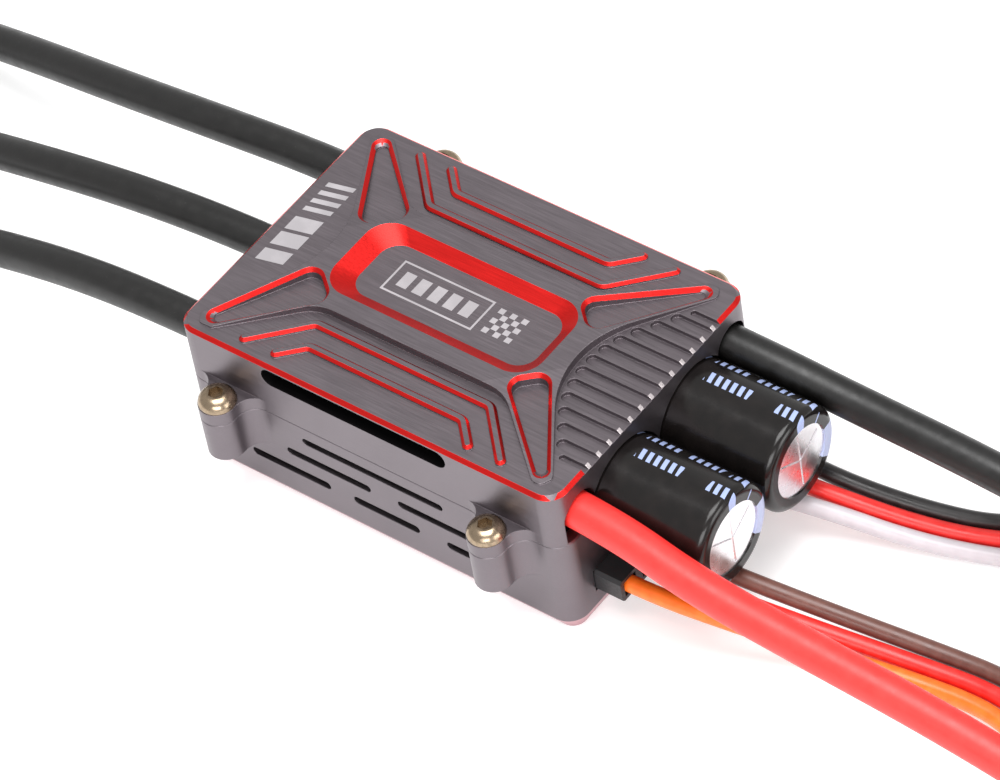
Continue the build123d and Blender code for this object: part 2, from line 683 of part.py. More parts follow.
# ---------------------------------------------------------------- headers and plugs
for name, side in (("signal", -1), ("bec", 1)):
    plug_y = side * PLUG_Y
    rows = [plug_y - PIN_PITCH, plug_y, plug_y + PIN_PITCH]
    with BuildPart() as header:
        with Locations((PLUG_X - 0.1, plug_y, PLUG_Z)):
            Box(HEADER_LENGTH, PLUG_WIDTH, PLUG_HEIGHT, align=(Align.MAX, Align.CENTER, Align.CENTER))
        with BuildSketch(Plane.YZ.offset(PLUG_X)):
            with Locations(*[(y, PLUG_Z) for y in rows]):
                Rectangle(PIN_SIDE, PIN_SIDE)
        extrude(amount=-4, mode=Mode.SUBTRACT)
    save(header.part, f"{name}_header")
    with BuildPart() as pins:
        for y in rows:
            with Locations((HEADER_TAIL_X - PIN_SIDE / 2, y, PLUG_Z)):
                Box(
                    PLUG_X + PIN_REACH - HEADER_TAIL_X + PIN_SIDE / 2,
                    PIN_SIDE,
                    PIN_SIDE,
                    align=(Align.MIN, Align.CENTER, Align.CENTER),
                )
            with Locations((HEADER_TAIL_X, y, CONTROL_BOARD[3] - PIN_TAIL)):
                Box(
                    PIN_SIDE,
                    PIN_SIDE,
                    PLUG_Z - CONTROL_BOARD[3] + PIN_TAIL,
                    align=(Align.CENTER, Align.CENTER, Align.MIN),
                )
    save(pins.part, f"{name}_header_pins")


def plug_housing(x, y, z):
    """Plug shell whose open face is at (x, y, z) and opens towards -X."""
    with BuildPart() as housing:
        with Locations((x, y, z)):
            Box(PLUG_LENGTH, PLUG_WIDTH, PLUG_HEIGHT, align=(Align.MIN, Align.CENTER, Align.CENTER))
        chamfer(housing.edges().filter_by(Axis.X), length=0.3)
        with BuildSketch(Plane.YZ.offset(x)):
            with Locations((y, z)):
                with GridLocations(PIN_PITCH, 1, 3, 1):
                    Rectangle(CONTACT_SIDE + CONTACT_PLAY, CONTACT_SIDE + CONTACT_PLAY)
        extrude(amount=PLUG_LENGTH, mode=Mode.SUBTRACT)
        # small windows over the latches of the contacts
        with Locations((x + 4.5, y, z + PLUG_HEIGHT / 2)):
            with GridLocations(1, PIN_PITCH, 1, 3):
                Box(2.2, 1.0, 1.2, mode=Mode.SUBTRACT)
    return housing.part


def plug_contacts(x, y, z):
    """Three folded contacts with square mouths for the pins."""
    with BuildPart() as contacts:
        with Locations((x + CONTACT_SETBACK, y, z)):
            with GridLocations(1, PIN_PITCH, 1, 3):
                Box(
                    CONTACT_LENGTH,
                    CONTACT_SIDE,
                    CONTACT_SIDE,
                    align=(Align.MIN, Align.CENTER, Align.CENTER),
                )
        with BuildSketch(Plane.YZ.offset(x)):
            with Locations((y, z)):
                with GridLocations(PIN_PITCH, 1, 3, 1):
                    Rectangle(CONTACT_BORE, CONTACT_BORE)
        extrude(amount=CONTACT_SETBACK + PIN_REACH + 0.5, mode=Mode.SUBTRACT)
    return contacts.part


def coil_ring(centre):
    """Outer shape of the wound cable, one plain ring."""
    with BuildPart() as ring:
        with BuildSketch(Plane.XY.offset(COIL_LOW)):
            with Locations(centre):
                Circle(COIL_OUTER)
                Circle(COIL_INNER, mode=Mode.SUBTRACT)
        extrude(amount=COIL_HIGH - COIL_LOW)
    return ring.part


def coil_ties(centre):
    """Two flat cable ties round the coil, with their locking heads outside."""
    ring_middle = (COIL_INNER + COIL_OUTER) / 2
    span = COIL_OUTER - COIL_INNER + 2 * (TIE_GAP + TIE_THICKNESS)
    height = COIL_HIGH + COIL_LOW
    standing = (Align.CENTER, Align.CENTER, Align.MIN)
    with BuildPart() as ties:
        for angle in TIE_ANGLES:
            with Locations(Location((centre[0], centre[1], 0), (0, 0, angle))):
                with Locations((ring_middle, 0, 0)):
                    Box(span, TIE_WIDTH, height, align=standing)
                with Locations((ring_middle + span / 2 + 0.75, 0, 2.6)):
                    Box(1.7, 3.4, 3.0, align=standing)
                with Locations((ring_middle, 0, TIE_THICKNESS)):
                    Box(
                        span - 2 * TIE_THICKNESS,
                        2 * TIE_WIDTH,
                        height - 2 * TIE_THICKNESS,
                        align=standing,
                        mode=Mode.SUBTRACT,
                    )
    return ties.part


# Routes of the thin wires: from the plug to the coil, then from the coil to the far plug.
SIGNAL_FAR_PLUG = (92.0, -1.3, PLUG_HEIGHT / 2)
BEC_FAR_PLUG = (83.0, 20.5, PLUG_HEIGHT / 2)
SIGNAL_WIRES = {
    "orange": (
        [
            (21.5, -9.6, 4.15),
            (26.0, -9.65, 4.25),
            (32.0, -8.9, 4.15),
            (40.0, -6.5, 2.4),
            (48.0, -4.1, 0.95),
            (55.5, -3.2, 0.8),
            (60.0, -4.5, 0.85),
            (63.8, -6.7, 1.3),
        ],
        [
            (72.0, -8.2, 6.16),
            (77.0, -8.0, 5.0),
            (82.5, -6.6, 2.3),
            (87.5, -4.5, 1.15),
            (91.0, -3.84, 1.25),
            (93.8, -3.85, 1.25),
        ],
    ),
    "red": (
        [
            (21.5, -7.06, 4.15),
            (26.0, -7.03, 4.25),
            (32.0, -6.4, 4.0),
            (40.0, -4.3, 2.3),
            (48.0, -2.3, 0.95),
            (55.5, -1.45, 0.85),
            (60.5, -2.9, 1.5),
            (64.1, -5.9, 2.92),
        ],
        [
            (72.0, -7.75, 7.78),
            (77.0, -6.9, 6.4),
            (82.5, -5.0, 2.9),
            (87.5, -2.2, 1.15),
            (91.0, -1.3, 1.25),
            (93.8, -1.31, 1.25),
        ],
    ),
    "brown": (
        [
            (21.5, -4.52, 4.15),
            (26.0, -4.5, 4.3),
            (32.0, -4.5, 4.7),
            (40.0, -2.6, 3.0),
            (48.0, -0.5, 1.2),
            (55.5, 0.3, 1.0),
            (61.0, -1.4, 2.5),
            (64.4, -5.1, 4.54),
        ],
        [
            (72.0, -7.3, 9.4),
            (77.0, -5.9, 7.9),
            (82.5, -3.3, 3.6),
            (87.5, 0.3, 1.25),
            (91.0, 1.24, 1.25),
            (93.8, 1.25, 1.25),
        ],
    ),
}
BEC_WIRES = {
    "black": (
        [
            (21.5, 9.6, 4.15),
            (26.0, 9.6, 4.2),
            (32.0, 10.0, 3.2),
            (39.0, 12.1, 1.4),
            (45.5, 14.2, 0.9),
            (51.5, 16.6, 3.0),
            (57.0, 17.8, 4.54),
        ],
        [
            (63.0, 16.1, 9.4),
            (68.0, 17.5, 7.9),
            (73.5, 19.9, 3.6),
            (78.5, 22.3, 1.25),
            (82.0, 23.03, 1.25),
            (84.8, 23.04, 1.25),
        ],
    ),
    "red": (
        [
            (21.5, 7.06, 4.15),
            (26.0, 7.0, 4.2),
            (32.5, 8.2, 3.2),
            (39.5, 10.4, 1.3),
            (46.0, 12.5, 0.85),
            (52.0, 15.0, 1.85),
            (56.8, 16.9, 2.92),
        ],
        [
            (63.0, 15.65, 7.78),
            (68.0, 16.45, 6.4),
            (73.5, 18.3, 2.9),
            (78.5, 20.0, 1.15),
            (82.0, 20.5, 1.25),
            (84.8, 20.51, 1.25),
        ],
    ),
    "white": (
        [
            (21.5, 4.52, 4.15),
            (26.0, 4.4, 4.2),
            (33.0, 6.5, 3.2),
            (40.0, 8.7, 1.3),
            (46.5, 10.8, 0.85),
            (52.5, 13.3, 0.85),
            (56.6, 16.2, 1.3),
        ],
        [
            (63.0, 15.2, 6.16),
            (68.0, 15.4, 5.0),
            (73.5, 16.6, 2.3),
            (78.5, 17.7, 1.15),
            (82.0, 17.96, 1.25),
            (84.8, 17.97, 1.25),
        ],
    ),
}

for name, side, wires, coil, far_plug in (
    ("signal", -1, SIGNAL_WIRES, SIGNAL_COIL, SIGNAL_FAR_PLUG),
    ("bec", 1, BEC_WIRES, BEC_COIL, BEC_FAR_PLUG),
):
    save(plug_housing(PLUG_X, side * PLUG_Y, PLUG_Z), f"{name}_plug_housing")
    save(plug_contacts(PLUG_X, side * PLUG_Y, PLUG_Z), f"{name}_plug_contacts")
    turned = Location((far_plug[0] + PLUG_LENGTH, far_plug[1], far_plug[2]), (0, 0, 180))
    save(turned * plug_housing(0, 0, 0), f"{name}_far_plug")
    save(turned * plug_contacts(0, 0, 0), f"{name}_far_contacts")
    save(coil_ring(coil), f"{name}_cable_coil")
    save(coil_ties(coil), f"{name}_cable_ties")
    for colour, (run_out, run_back) in wires.items():
        with BuildPart() as wire:
            add(tube(run_out, WIRE_RADIUS))
            add(tube(run_back, WIRE_RADIUS))
        save(wire.part, f"{name}_wire_{colour}")

# ---------------------------------------------------------------- heavy leads
LEADS = {
    "motor_lead_1": [
        (-17.5, -10.65, 13.6),
        (-24.5, -10.66, 13.55),
        (-35.5, -10.4, 12.2),
        (-47.0, -10.1, 9.25),
        (-59.0, -10.0, 5.5),
        (-70.5, -10.4, 2.9),
        (-80.5, -10.8, 1.85),
        (-89.0, -10.7, 1.75),
    ],
    "motor_lead_2": [
        (-17.5, 0.0, 13.6),
        (-25.0, -0.02, 13.55),
        (-37.5, -0.4, 12.65),
        (-49.5, -0.5, 10.4),
        (-61.5, 0.1, 6.9),
        (-73.0, 0.8, 3.5),
        (-84.0, 1.1, 1.9),
        (-93.0, 0.9, 1.75),
    ],
    "motor_lead_3": [
        (-17.5, 10.65, 13.6),
        (-24.5, 10.66, 13.5),
        (-36.5, 10.5, 12.4),
        (-49.5, 11.2, 10.0),
        (-62.5, 12.5, 7.0),
        (-74.0, 13.5, 4.1),
        (-85.0, 13.9, 2.2),
        (-94.0, 13.6, 1.75),
    ],
    "positive_lead": [
        (17.5, -11.1, 13.6),
        (24.0, -11.12, 13.5),
        (33.5, -12.1, 12.2),
        (45.0, -11.9, 10.7),
        (57.5, -11.7, 9.3),
        (69.5, -11.6, 7.0),
        (80.5, -11.9, 4.1),
        (91.0, -12.3, 2.3),
        (99.5, -12.3, 1.75),
    ],
    "negative_lead": [
        (17.5, 11.1, 13.6),
        (24.0, 11.12, 13.55),
        (33.0, 11.75, 12.1),
        (44.5, 11.85, 11.6),
        (57.0, 11.9, 10.4),
        (69.0, 12.0, 7.8),
        (80.5, 12.3, 4.7),
        (91.5, 12.4, 2.4),
        (100.0, 12.2, 1.75),
    ],
}
for name, route in LEADS.items():
    save(tube(route, LEAD_RADIUS), name)
    last_run = (Vector(*route[-1]) - Vector(*route[-2])).normalized()
    end_plane = Plane(origin=route[-1], z_dir=last_run)
    with BuildPart() as tinned_end:
        with BuildSketch(end_plane):
            Circle(CONDUCTOR_RADIUS)
        extrude(amount=TINNED_LENGTH)
        chamfer(tinned_end.edges().sort_by(Axis.X)[-1 if route[-1][0] > 0 else 0], length=0.3)
    save(tinned_end.part, f"{name}_tinned_end")
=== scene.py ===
import json
import math

import bpy
from mathutils import Matrix, Vector


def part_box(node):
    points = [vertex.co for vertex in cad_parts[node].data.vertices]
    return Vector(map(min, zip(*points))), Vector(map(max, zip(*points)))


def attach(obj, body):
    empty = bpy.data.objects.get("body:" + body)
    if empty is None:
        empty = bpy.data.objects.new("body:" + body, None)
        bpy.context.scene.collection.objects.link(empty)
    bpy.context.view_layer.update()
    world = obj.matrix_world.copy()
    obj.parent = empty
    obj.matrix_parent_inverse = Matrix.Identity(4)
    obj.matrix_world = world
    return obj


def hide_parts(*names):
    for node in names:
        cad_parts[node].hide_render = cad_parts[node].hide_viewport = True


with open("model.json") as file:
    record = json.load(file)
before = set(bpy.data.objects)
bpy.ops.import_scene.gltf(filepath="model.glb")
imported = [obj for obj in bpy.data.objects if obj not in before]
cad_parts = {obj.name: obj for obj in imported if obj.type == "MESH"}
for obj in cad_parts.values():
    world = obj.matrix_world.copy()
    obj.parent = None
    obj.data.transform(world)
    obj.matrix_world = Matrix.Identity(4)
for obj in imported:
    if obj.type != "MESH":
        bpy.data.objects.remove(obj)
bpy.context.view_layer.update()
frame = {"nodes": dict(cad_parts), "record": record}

# A speed controller in a finned metal case, with its leads, capacitors and signal cables.
# Everything is in metres in the part's frame: +X from the motor leads to the battery leads, +Z up.

NODES = frame["nodes"]
MM = 0.001

# ---------------------------------------------------------------- camera
CAMERA_PLACE = (0.24211, -0.24178, 0.37452)
CAMERA_TURN = (42.375, 7.199, 36.868)
LENS = 205.3

camera_data = bpy.data.cameras.new("camera")
camera_data.lens = LENS
camera_data.sensor_width = 36.0
camera_data.clip_start = 0.01
camera_data.clip_end = 20.0
camera = bpy.data.objects.new("camera", camera_data)
camera.location = CAMERA_PLACE
camera.rotation_euler = [math.radians(angle) for angle in CAMERA_TURN]
bpy.context.scene.collection.objects.link(camera)
bpy.context.scene.camera = camera
bpy.context.scene.view_settings.view_transform = "Standard"


# ---------------------------------------------------------------- materials
def screen(red, green, blue):
    """A colour from its 0 to 255 screen values."""
    values = [max(v, 0) / 255 for v in (red, green, blue)]
    return tuple(v / 12.92 if v <= 0.04045 else ((v + 0.055) / 1.055) ** 2.4 for v in values) + (1.0,)


BEVEL_SAMPLES = 4
EDGE_SOFTNESS = 0.1 * MM


class Surface:
    """A procedural material: one Principled shader and the nodes that feed it."""

    def __init__(self, name, colour, roughness, metallic=0.0, **sockets):
        self.material = bpy.data.materials.new(name)
        self.material.use_nodes = True
        self.tree = self.material.node_tree
        self.shader = self.tree.nodes["Principled BSDF"]
        self.shader.inputs["Base Color"].default_value = colour
        self.shader.inputs["Roughness"].default_value = roughness
        self.shader.inputs["Metallic"].default_value = metallic
        for key, value in sockets.items():
            self.shader.inputs[key.replace("_", " ")].default_value = value
        self.colour = colour
        self.height = None
        self.place = self.add("ShaderNodeTexCoord").outputs["Object"]

    def add(self, kind, inputs=None, **properties):
        """A node, with its properties and its inputs set or linked."""
        node = self.tree.nodes.new(kind)
        for key, value in properties.items():
            setattr(node, key, value)
        for key, value in (inputs or {}).items():
            if isinstance(value, bpy.types.NodeSocket):
                self.tree.links.new(value, node.inputs[key])
            else:
                node.inputs[key].default_value = value
        return node

    def maths(self, operation, first, second=0.0):
        return self.add("ShaderNodeMath", {0: first, 1: second}, operation=operation).outputs[0]

    def stretched(self, scale):
        """The place, stretched along the axes to run grain in one direction."""
        inputs = {"Vector": self.place, "Scale": scale}
        return self.add("ShaderNodeMapping", inputs).outputs["Vector"]

    def noise(self, scale, detail=3.0, vector=None):
        inputs = {
            "Vector": vector or self.place,
            "Scale": scale,
            "Detail": detail,
        }
        return self.add("ShaderNodeTexNoise", inputs).outputs["Fac"]

    def band(self, value, low, high, first=0.0, last=1.0):
        """The value spread from first to last between low and high, and held beyond."""
        inputs = {
            "Value": value,
            "From Min": low,
            "From Max": high,
            "To Min": first,
            "To Max": last,
        }
        return self.add("ShaderNodeMapRange", inputs).outputs["Result"]

    def mix(self, factor, first, second):
        inputs = {0: factor, 6: first, 7: second}
        return self.add("ShaderNodeMix", inputs, data_type="RGBA").outputs[2]

    def tint(self, factor, other):
        """Mixes another colour in where the factor is high."""
        base = self.current_colour()
        self.tree.links.new(self.mix(factor, base, other), self.shader.inputs["Base Color"])
        return self

    def current_colour(self):
        links = self.shader.inputs["Base Color"].links
        return links[0].from_socket if links else self.colour

    def rough(self, factor, low, high):
        """Roughness from low to high as the factor goes from 0.3 to 0.7."""
        self.tree.links.new(self.band(factor, 0.3, 0.7, low, high), self.shader.inputs["Roughness"])
        return self

    def bump(self, height, distance):
        """Adds relief of that height in metres on top of any relief already there."""
        inputs = {"Height": height, "Distance": distance, "Strength": 1.0}
        if self.height is not None:
            inputs["Normal"] = self.height
        self.height = self.add("ShaderNodeBump", inputs).outputs["Normal"]
        self.tree.links.new(self.height, self.shader.inputs["Normal"])
        return self

    def soft_edges(self, radius):
        """Rounds the shading at sharp edges, so that they catch the light."""
        bevel = self.add("ShaderNodeBevel", {"Radius": radius}, samples=BEVEL_SAMPLES)
        self.height = bevel.outputs["Normal"]
        self.tree.links.new(self.height, self.shader.inputs["Normal"])
        return self


def milled(name, colour, roughness, spread=0.06):
    """Anodised metal with fine cutter lines along X, a few patches and a soft edge."""
    surface = Surface(name, colour, roughness, metallic=1.0)
    surface.soft_edges(EDGE_SOFTNESS)
    lines = surface.noise(1.0, detail=2.0, vector=surface.stretched((300, 9000, 9000)))
    patches = surface.noise(220.0, detail=4.0)
    grain = surface.noise(14000.0, detail=1.0)
    lighter = tuple(min(1.0, v * 1.12) for v in colour[:3]) + (1.0,)
    darker = tuple(v * 0.92 for v in colour[:3]) + (1.0,)
    surface.tint(surface.band(lines, 0.35, 0.7), lighter)
    surface.tint(surface.band(patches, 0.45, 0.75, 0.0, 0.5), darker)
    surface.rough(lines, roughness - spread, roughness + spread)
    surface.bump(lines, 0.004 * MM).bump(grain, 0.002 * MM)
    return surface


GREY = milled("anodised_grey", (0.172, 0.150, 0.163, 1.0), 0.42)
# the red anodised foot chamfer, paled towards pink: a painted reflection of the white floor
FOOT_RED_PAINTED_REFLECTION = milled("foot_red_painted_reflection", (0.50, 0.30, 0.33, 1.0), 0.40, spread=0.04)
RED = milled("anodised_red", (0.64, 0.020, 0.018, 1.0), 0.34, spread=0.04)
# pale metal for the rim chamfer where the fins cross it: a painted highlight
RIM_PAINTED_HIGHLIGHT = milled("rim_painted_highlight", (0.62, 0.56, 0.57, 1.0), 0.30, spread=0.04)
# near-black metal inside the cover's slot: painted shade for the dark recess
SLOT_PAINTED_SHADE = milled("slot_painted_shade", (0.012, 0.011, 0.012, 1.0), 0.6)


def moulded(name, colour, roughness=0.5, grain=3000.0, depth=0.004):
    """Moulded plastic: fine matte grain with faint clouds of colour."""
    surface = Surface(name, colour, roughness)
    fine = surface.noise(grain, detail=3.0)
    clouds = surface.noise(300.0, detail=3.0)
    lighter = tuple(min(1.0, v * 1.5 + 0.004) for v in colour[:3]) + (1.0,)
    surface.tint(surface.band(clouds, 0.45, 0.8, 0.0, 0.6), lighter)
    surface.rough(fine, roughness - 0.08, roughness + 0.1)
    surface.bump(fine, depth * MM)
    return surface


def silicone(name, colour, painted_sheen, roughness=0.42):
    """Soft extruded insulation: a satin skin, a little uneven, with lighter patches of painted sheen
    and faint dust.
    """
    surface = Surface(name, colour, roughness)
    skin_and_sheen = surface.noise(900.0, detail=4.0)
    dust = surface.noise(5200.0, detail=2.0)
    # lighter patches in the insulation's own colour: a painted sheen
    surface.tint(surface.band(skin_and_sheen, 0.4, 0.75, 0.0, 0.7), painted_sheen)
    dusty = tuple(min(1.0, v + 0.06) for v in colour[:3]) + (1.0,)
    surface.tint(surface.band(dust, 0.66, 0.8, 0.0, 0.25), dusty)
    surface.rough(skin_and_sheen, roughness - 0.06, roughness + 0.08)
    surface.bump(skin_and_sheen, 0.02 * MM).bump(dust, 0.004 * MM)
    return surface


def metal(name, colour, roughness, scale=2600.0, shade=0.72):
    """Plated metal with slight unevenness."""
    surface = Surface(name, colour, roughness, metallic=1.0)
    uneven = surface.noise(scale, detail=4.0)
    darker = tuple(v * shade for v in colour[:3]) + (1.0,)
    surface.tint(surface.band(uneven, 0.45, 0.75), darker)
    surface.rough(uneven, roughness - 0.08, roughness + 0.1)
    surface.bump(uneven, 0.006 * MM)
    return surface


BRONZE = metal("bronze_steel", (0.34, 0.26, 0.18, 1.0), 0.24)
GOLD = metal("gold_pins", (0.80, 0.56, 0.24, 1.0), 0.28)
TIN = metal("tinned_copper", (0.70, 0.68, 0.65, 1.0), 0.32)
ALUMINIUM = metal("can_aluminium", (0.86, 0.85, 0.87, 1.0), 0.26, 500.0, 0.9)
CHIP = moulded("chip_black", (0.020, 0.020, 0.022, 1.0), 0.55, 5200.0)
FERRITE = moulded("ferrite", (0.075, 0.075, 0.080, 1.0), 0.6, 4200.0, 0.01)
CERAMIC = moulded("ceramic_tan", (0.45, 0.33, 0.22, 1.0), 0.45, 5200.0)
GEL = moulded("thermal_gel", (0.32, 0.40, 0.50, 1.0), 0.65, 2600.0, 0.01)
NYLON = moulded("connector_black", (0.014, 0.014, 0.015, 1.0), 0.45, 4200.0)
RUBBER = moulded("bung_rubber", (0.020, 0.018, 0.018, 1.0), 0.7, 3000.0, 0.01)
TIE = moulded("tie_black", (0.012, 0.012, 0.012, 1.0), 0.4, 2600.0)
BLACK_LEAD = silicone("black_silicone", screen(8, 7, 6), screen(15, 13, 12), 0.40)
RED_LEAD = silicone("red_silicone", screen(232, 46, 42), screen(236, 52, 47))
ORANGE_WIRE = silicone("orange_wire", screen(240, 106, 26), screen(255, 128, 44), 0.34)
RED_WIRE = silicone("red_wire", screen(222, 34, 30), screen(240, 56, 50), 0.34)
BROWN_WIRE = silicone("brown_wire", screen(96, 62, 54), screen(118, 80, 70), 0.34)
BLACK_WIRE = silicone("black_wire", screen(30, 28, 28), screen(44, 40, 40), 0.34)
WHITE_WIRE = silicone("white_wire", screen(188, 181, 186), screen(198, 192, 196), 0.34)


def board_surface():
    """Green solder mask over copper tracks that show as faint raised lines."""
    surface = Surface("circuit_board", (0.012, 0.085, 0.040, 1.0), 0.35, Coat_Weight=0.5)
    tracks = surface.add(
        "ShaderNodeTexVoronoi",
        {"Vector": surface.place, "Scale": 900.0},
        distance="MANHATTAN",
    ).outputs["Distance"]
    surface.tint(surface.band(tracks, 0.30, 0.42), (0.020, 0.130, 0.060, 1.0))
    surface.tint(surface.band(surface.noise(2600.0), 0.6, 0.8, 0.0, 0.4), (0.006, 0.05, 0.025, 1.0))
    surface.rough(surface.noise(1200.0), 0.26, 0.44)
    surface.bump(tracks, 0.02 * MM)
    return surface


BOARD = board_surface()


CAP_MIDDLE_Y = 0.00504
CAP_MIDDLE_Z = 0.01055
# rows of strokes: from and to in degrees round the sleeve, a word's pitch, and the printed share of it
INK_ROWS = [(31, 45, 0.0043, 0.80), (-1, 13, 0.0074, 0.62)]
STROKE_PITCH = 0.00078
STROKE_SHARE = 0.55
STROKE_LEAN = 0.000018
STRIPE = (78, 128)
DASH_ROW = (98, 106)
DASH_PITCH = 0.0042
DASH_SHARE = 0.5


def sleeve_surface(name, middle_y):
    """Shrunk-on film: brown-black, with a pale stripe and two rows of plain printed strokes."""
    surface = Surface(name, (0.005, 0.004, 0.0038, 1.0), 0.20, Specular_IOR_Level=0.35)
    along, across, up = surface.add("ShaderNodeSeparateXYZ", {0: surface.place}).outputs
    beside = surface.maths("SUBTRACT", across, middle_y)
    above = surface.maths("SUBTRACT", up, CAP_MIDDLE_Z)
    turn = surface.maths("MULTIPLY", surface.maths("ARCTAN2", beside, above), 180 / math.pi)

    def within(value, low, high):
        return surface.maths(
            "MULTIPLY",
            surface.maths("GREATER_THAN", value, low),
            surface.maths("LESS_THAN", value, high),
        )

    def strokes(pitch, share, lean=0.0):
        shifted = surface.maths("ADD", along, surface.maths("MULTIPLY", turn, lean))
        steps = surface.maths("MULTIPLY", shifted, 1 / pitch)
        return surface.maths("LESS_THAN", surface.maths("FRACT", steps), share)

    ripple = surface.noise(700.0, detail=3.0)
    surface.tint(surface.band(ripple, 0.4, 0.75), (0.008, 0.006, 0.0055, 1.0))
    ink = screen(150, 164, 204)
    for low, high, word_pitch, word_share in INK_ROWS:
        row = within(turn, low, high)
        words = strokes(word_pitch, word_share)
        cuts = strokes(STROKE_PITCH, STROKE_SHARE, STROKE_LEAN)
        surface.tint(surface.maths("MULTIPLY", row, surface.maths("MULTIPLY", words, cuts)), ink)
    surface.tint(within(turn, *STRIPE), screen(160, 170, 200))
    dashes = surface.maths("MULTIPLY", within(turn, *DASH_ROW), strokes(DASH_PITCH, DASH_SHARE))
    surface.tint(dashes, screen(30, 28, 40))
    surface.rough(ripple, 0.17, 0.23)
    surface.bump(ripple, 0.006 * MM)
    return surface


SLEEVE = sleeve_surface("sleeve_black", -CAP_MIDDLE_Y)
SECOND_SLEEVE = sleeve_surface("sleeve_black_2", CAP_MIDDLE_Y)
PRINT = moulded("silver_print", screen(146, 142, 145), 0.5, 6000.0, 0.001)

SLOT_SURFACES = {
    "anodised_grey": GREY,
    "bronze_steel": BRONZE,
    "circuit_board": BOARD,
    "chip_black": CHIP,
    "ferrite": FERRITE,
    "ceramic_tan": CERAMIC,
    "thermal_gel": GEL,
    "connector_black": NYLON,
    "gold_pins": GOLD,
    "can_aluminium": ALUMINIUM,
    "sleeve_black": SLEEVE,
    "bung_rubber": RUBBER,
    "tinned_copper": TIN,
    "black_silicone": BLACK_LEAD,
    "red_silicone": RED_LEAD,
    "orange_wire": ORANGE_WIRE,
    "red_wire": RED_WIRE,
    "brown_wire": BROWN_WIRE,
    "black_wire": BLACK_WIRE,
    "white_wire": WHITE_WIRE,
    "tie_black": TIE,
}

for subpart in frame["record"]["subparts"]:
    materials = NODES[subpart["node"]].data.materials
    materials.clear()
    materials.append(SLOT_SURFACES[subpart["material_slot"]].material)
second_sleeve = NODES["capacitor_2_sleeve"].data.materials
second_sleeve.clear()
second_sleeve.append(SECOND_SLEEVE.material)


# ---------------------------------------------------------------- anodised faces of the case, and faces with painted highlight, reflection and shade
def share_out(node, surfaces, chooser):
    """Gives each face of a CAD mesh one of the surfaces; the mesh's shape stays as it is."""
    mesh = NODES[node].data
    mesh.materials.clear()
    for surface in surfaces:
        mesh.materials.append(surface.material)
    for polygon in mesh.polygons:
        polygon.material_index = surfaces.index(chooser(polygon.center / MM, polygon.normal))


case_low, case_high = [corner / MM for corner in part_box("upper_cover")]
CASE_HALF_LENGTH = (case_high.x - case_low.x) / 2
CASE_HALF_WIDTH = 14.3
COVER_TOP = 17.4
DISH_FLOOR_Z = 17.45
FOOT_TOP = 1.27
INSIDE = 0.45
EDGE_DROP = 0.45
TOLERANCE = 0.01
# half width of the rim's painted highlight across the fins
HIGHLIGHT_HALF_WIDTH = 9.5
SLOT_BOX = ((-11.2, 9.0), (14.95, 16.9))
SLOT_DEPTH = 2.8


def cover_face(place, normal):
    inner = abs(place.x) < CASE_HALF_LENGTH - INSIDE and abs(place.y) < CASE_HALF_WIDTH - INSIDE
    (slot_start, slot_end), (slot_low, slot_high) = SLOT_BOX
    in_slot = (
        slot_start - TOLERANCE <= place.x <= slot_end + TOLERANCE
        and slot_low - TOLERANCE <= place.z <= slot_high + TOLERANCE
        and CASE_HALF_WIDTH - SLOT_DEPTH - 5 * TOLERANCE <= abs(place.y) < CASE_HALF_WIDTH - TOLERANCE
    )
    # faces inside the slot get the near-black painted shade
    if in_slot:
        return SLOT_PAINTED_SHADE
    if place.z < COVER_TOP - EDGE_DROP:
        return GREY
    # the bevelled rim is pale metal where the fins cross it, a painted highlight, and red elsewhere
    if not inner:
        if 0.5 < normal.z < 0.9:
            return RIM_PAINTED_HIGHLIGHT if place.x > 0 and abs(place.y) < HIGHLIGHT_HALF_WIDTH else RED
        return GREY
    if 0.3 < normal.z < 0.95 and place.z > COVER_TOP + 2 * TOLERANCE:
        return RED
    return GREY


def base_face(place, normal):
    # down-facing foot chamfer faces: red anodise with a painted reflection of the floor
    if place.z < FOOT_TOP and -0.9 < normal.z < -0.2:
        return FOOT_RED_PAINTED_REFLECTION
    return GREY


share_out("upper_cover", [GREY, RED, RIM_PAINTED_HIGHLIGHT, SLOT_PAINTED_SHADE], cover_face)
share_out("lower_case", [GREY, FOOT_RED_PAINTED_REFLECTION], base_face)

# ---------------------------------------------------------------- printed marks on the cover
# the motor-end bars are (y, width) pairs; all plan sizes here are in millimetres
INK_THICKNESS = 0.00002
INK_GAP = 0.000005
MOTOR_END_MARKS = [
    (-4.6, 1.5),
    (-2.5, 1.7),
    (-0.4, 1.7),
    (2.2, 0.55),
    (3.3, 0.55),
    (4.4, 0.55),
    (5.5, 0.55),
]
DISH_FRAME = (-7.4, 2.6, -1.9, 1.9)
FRAME_LINE = 0.2
DISH_BAR_STARTS = (-6.4, -4.7, -3.0, -1.3, 0.4)
DISH_BAR_WIDTH = 1.1
DISH_BAR_REACH = 0.9
CHEQUER_START = (3.4, -1.5)
CHEQUER_COUNT = 5
CHECK_SIDE = 0.62
CHECK_SHARE = 0.96
MOTOR_MARKS_X = (-19.3, -16.6)
MOTOR_MARKS_LEAN = 0.6


def box_outline(x0, x1, y0, y1, lean=0.0):
    """Four corners of a bar that may lean towards +Y as it runs along +X."""
    return [(x0, y0), (x1, y0 + lean), (x1, y1 + lean), (x0, y1)]


